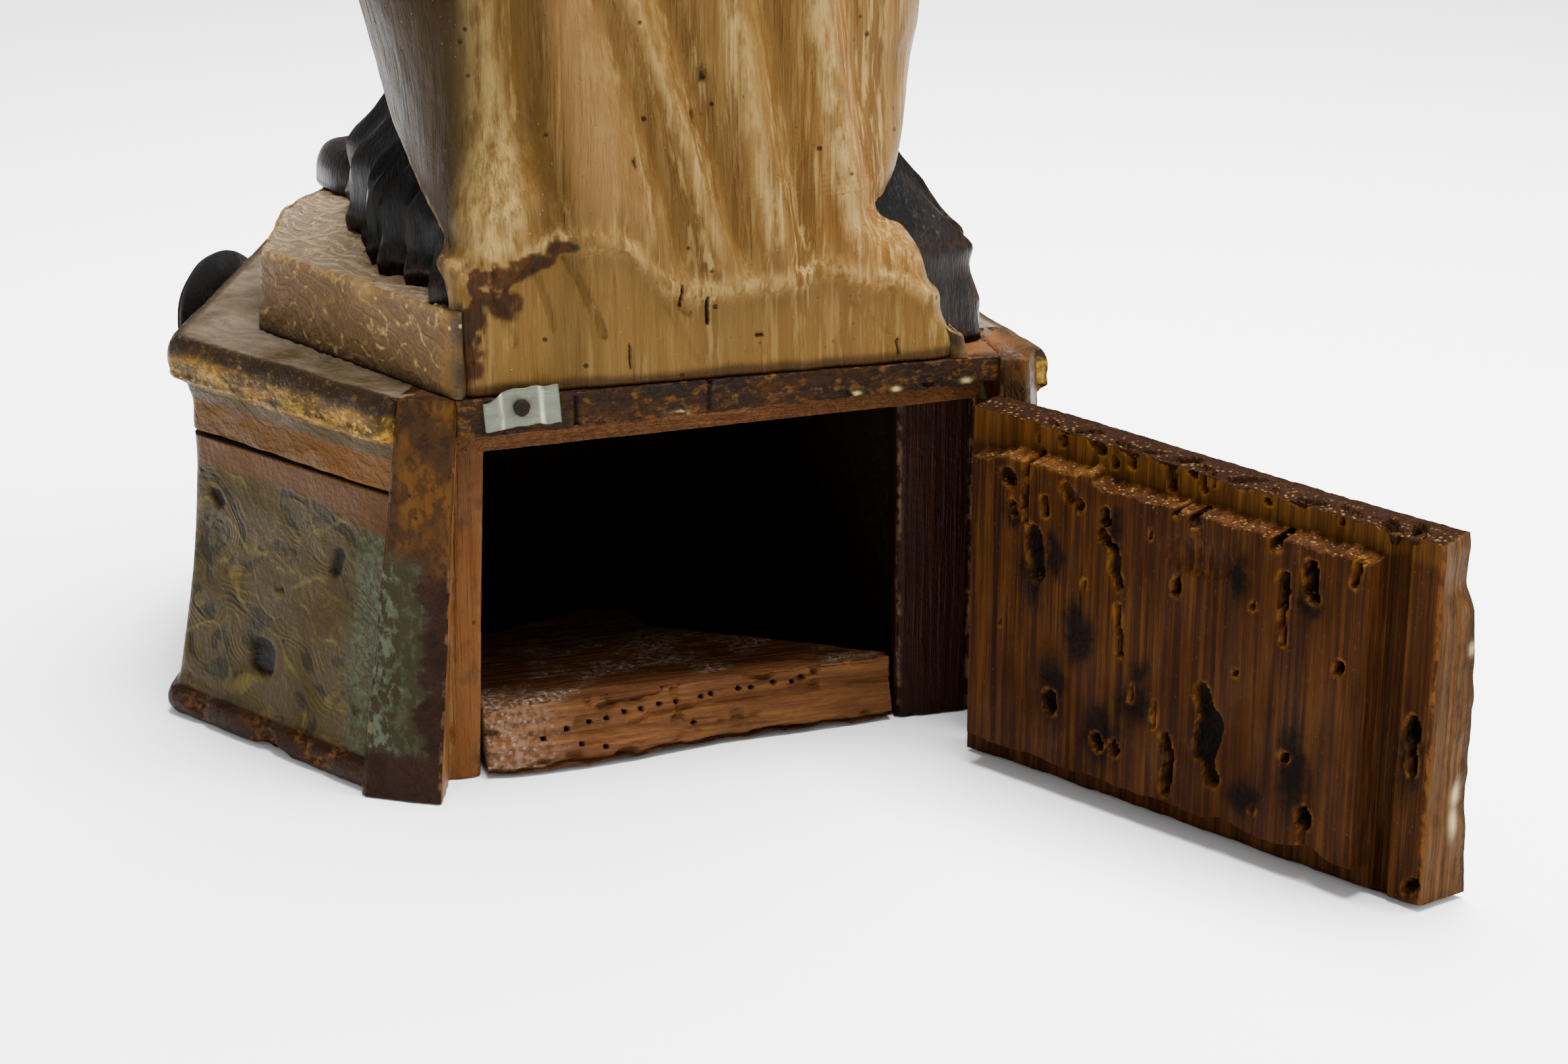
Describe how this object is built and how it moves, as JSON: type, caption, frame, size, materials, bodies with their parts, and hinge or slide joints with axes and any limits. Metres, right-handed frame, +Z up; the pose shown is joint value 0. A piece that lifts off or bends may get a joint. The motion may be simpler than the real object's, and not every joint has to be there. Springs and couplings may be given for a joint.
{
  "type": "wooden saint statue",
  "caption": "Carved and painted wooden saint in a mantle over a robe, on a hollow moulded plinth with a worm-eaten back door on a hinge and a bent zinc turn-button.",
  "frame": {"origin": "on the floor under the middle of the door opening, 60 mm in from the back face", "axes": "+X to the statue's left, -Y the way it faces, +Z up"},
  "size_m": [0.4115, 0.456, 0.7846],
  "materials": {
    "mantle_paint": "worn ochre oil paint over gesso, satin",
    "robe_paint": "worn black oil paint, satin",
    "flesh_paint": "aged flesh tone under yellowed varnish, satin",
    "hair_paint": "dark brown paint, satin",
    "ground_paint": "dark brown paint, scratched, satin",
    "ledge_paint": "dark brown paint with flaking gilding, satin",
    "panel_paint": "olive green paint combed with swirls, satin",
    "post_paint": "red-brown stain, worn, satin",
    "bare_wood": "bare aged softwood, matt",
    "door_wood": "bare worm-eaten softwood, matt",
    "plaque_paint": "black paint, satin",
    "zinc": "dull galvanised sheet",
    "rusty_iron": "rusty, matt"
  },
  "bodies": {
    "statue": {"saint_figure": "mantle_paint", "ledge": "ledge_paint", "plinth_case": "panel_paint", "left_corner_post": "post_paint", "right_corner_post": "post_paint", "back_rail": "ledge_paint", "floor_board": "bare_wood", "rear_floor_board": "bare_wood", "turn_button_nail": "rusty_iron", "side_plaque": "plaque_paint"},
    "door": {"door": "door_wood"},
    "turn_button": {"turn_button": "zinc"}
  },
  "joints": [
    {"name": "door_hinge", "type": "hinge", "parent": "statue", "child": "door", "pos_m": [-0.1, 0.0634, 0.07], "axis": [0, 0, 1], "range_deg": [-118.5, 42]},
    {"name": "turn_button_pivot", "type": "hinge", "parent": "statue", "child": "turn_button", "pos_m": [0.0784, 0.061, 0.1476], "axis": [0, 1, 0], "range_deg": [0, 90]}
  ]
}
